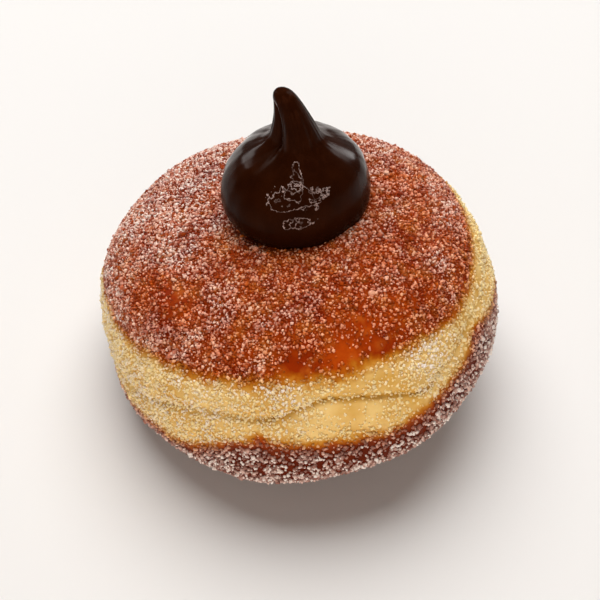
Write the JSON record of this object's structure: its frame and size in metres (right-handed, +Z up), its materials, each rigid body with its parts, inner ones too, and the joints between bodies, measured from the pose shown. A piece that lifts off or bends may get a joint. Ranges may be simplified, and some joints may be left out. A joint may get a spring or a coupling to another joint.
{
  "type": "filled doughnut",
  "caption": "Round yeast doughnut rolled in granulated sugar, with a pale waist and a piped chocolate dollop drawn up into a curled tip on its crown.",
  "frame": {"origin": "on the flat of the foot, straight below the middle of the widest ring", "axes": "+Z up through the crown, -Y towards the side seen from the front, +X to the right of that view"},
  "size_m": [0.0905, 0.0903, 0.0818],
  "materials": {
    "fried_crust": "satin crust with sugar crystals",
    "chocolate_cream": "glossy"
  },
  "bodies": {
    "root": {"doughnut": "fried_crust", "chocolate_dollop": "chocolate_cream"}
  },
  "joints": []
}
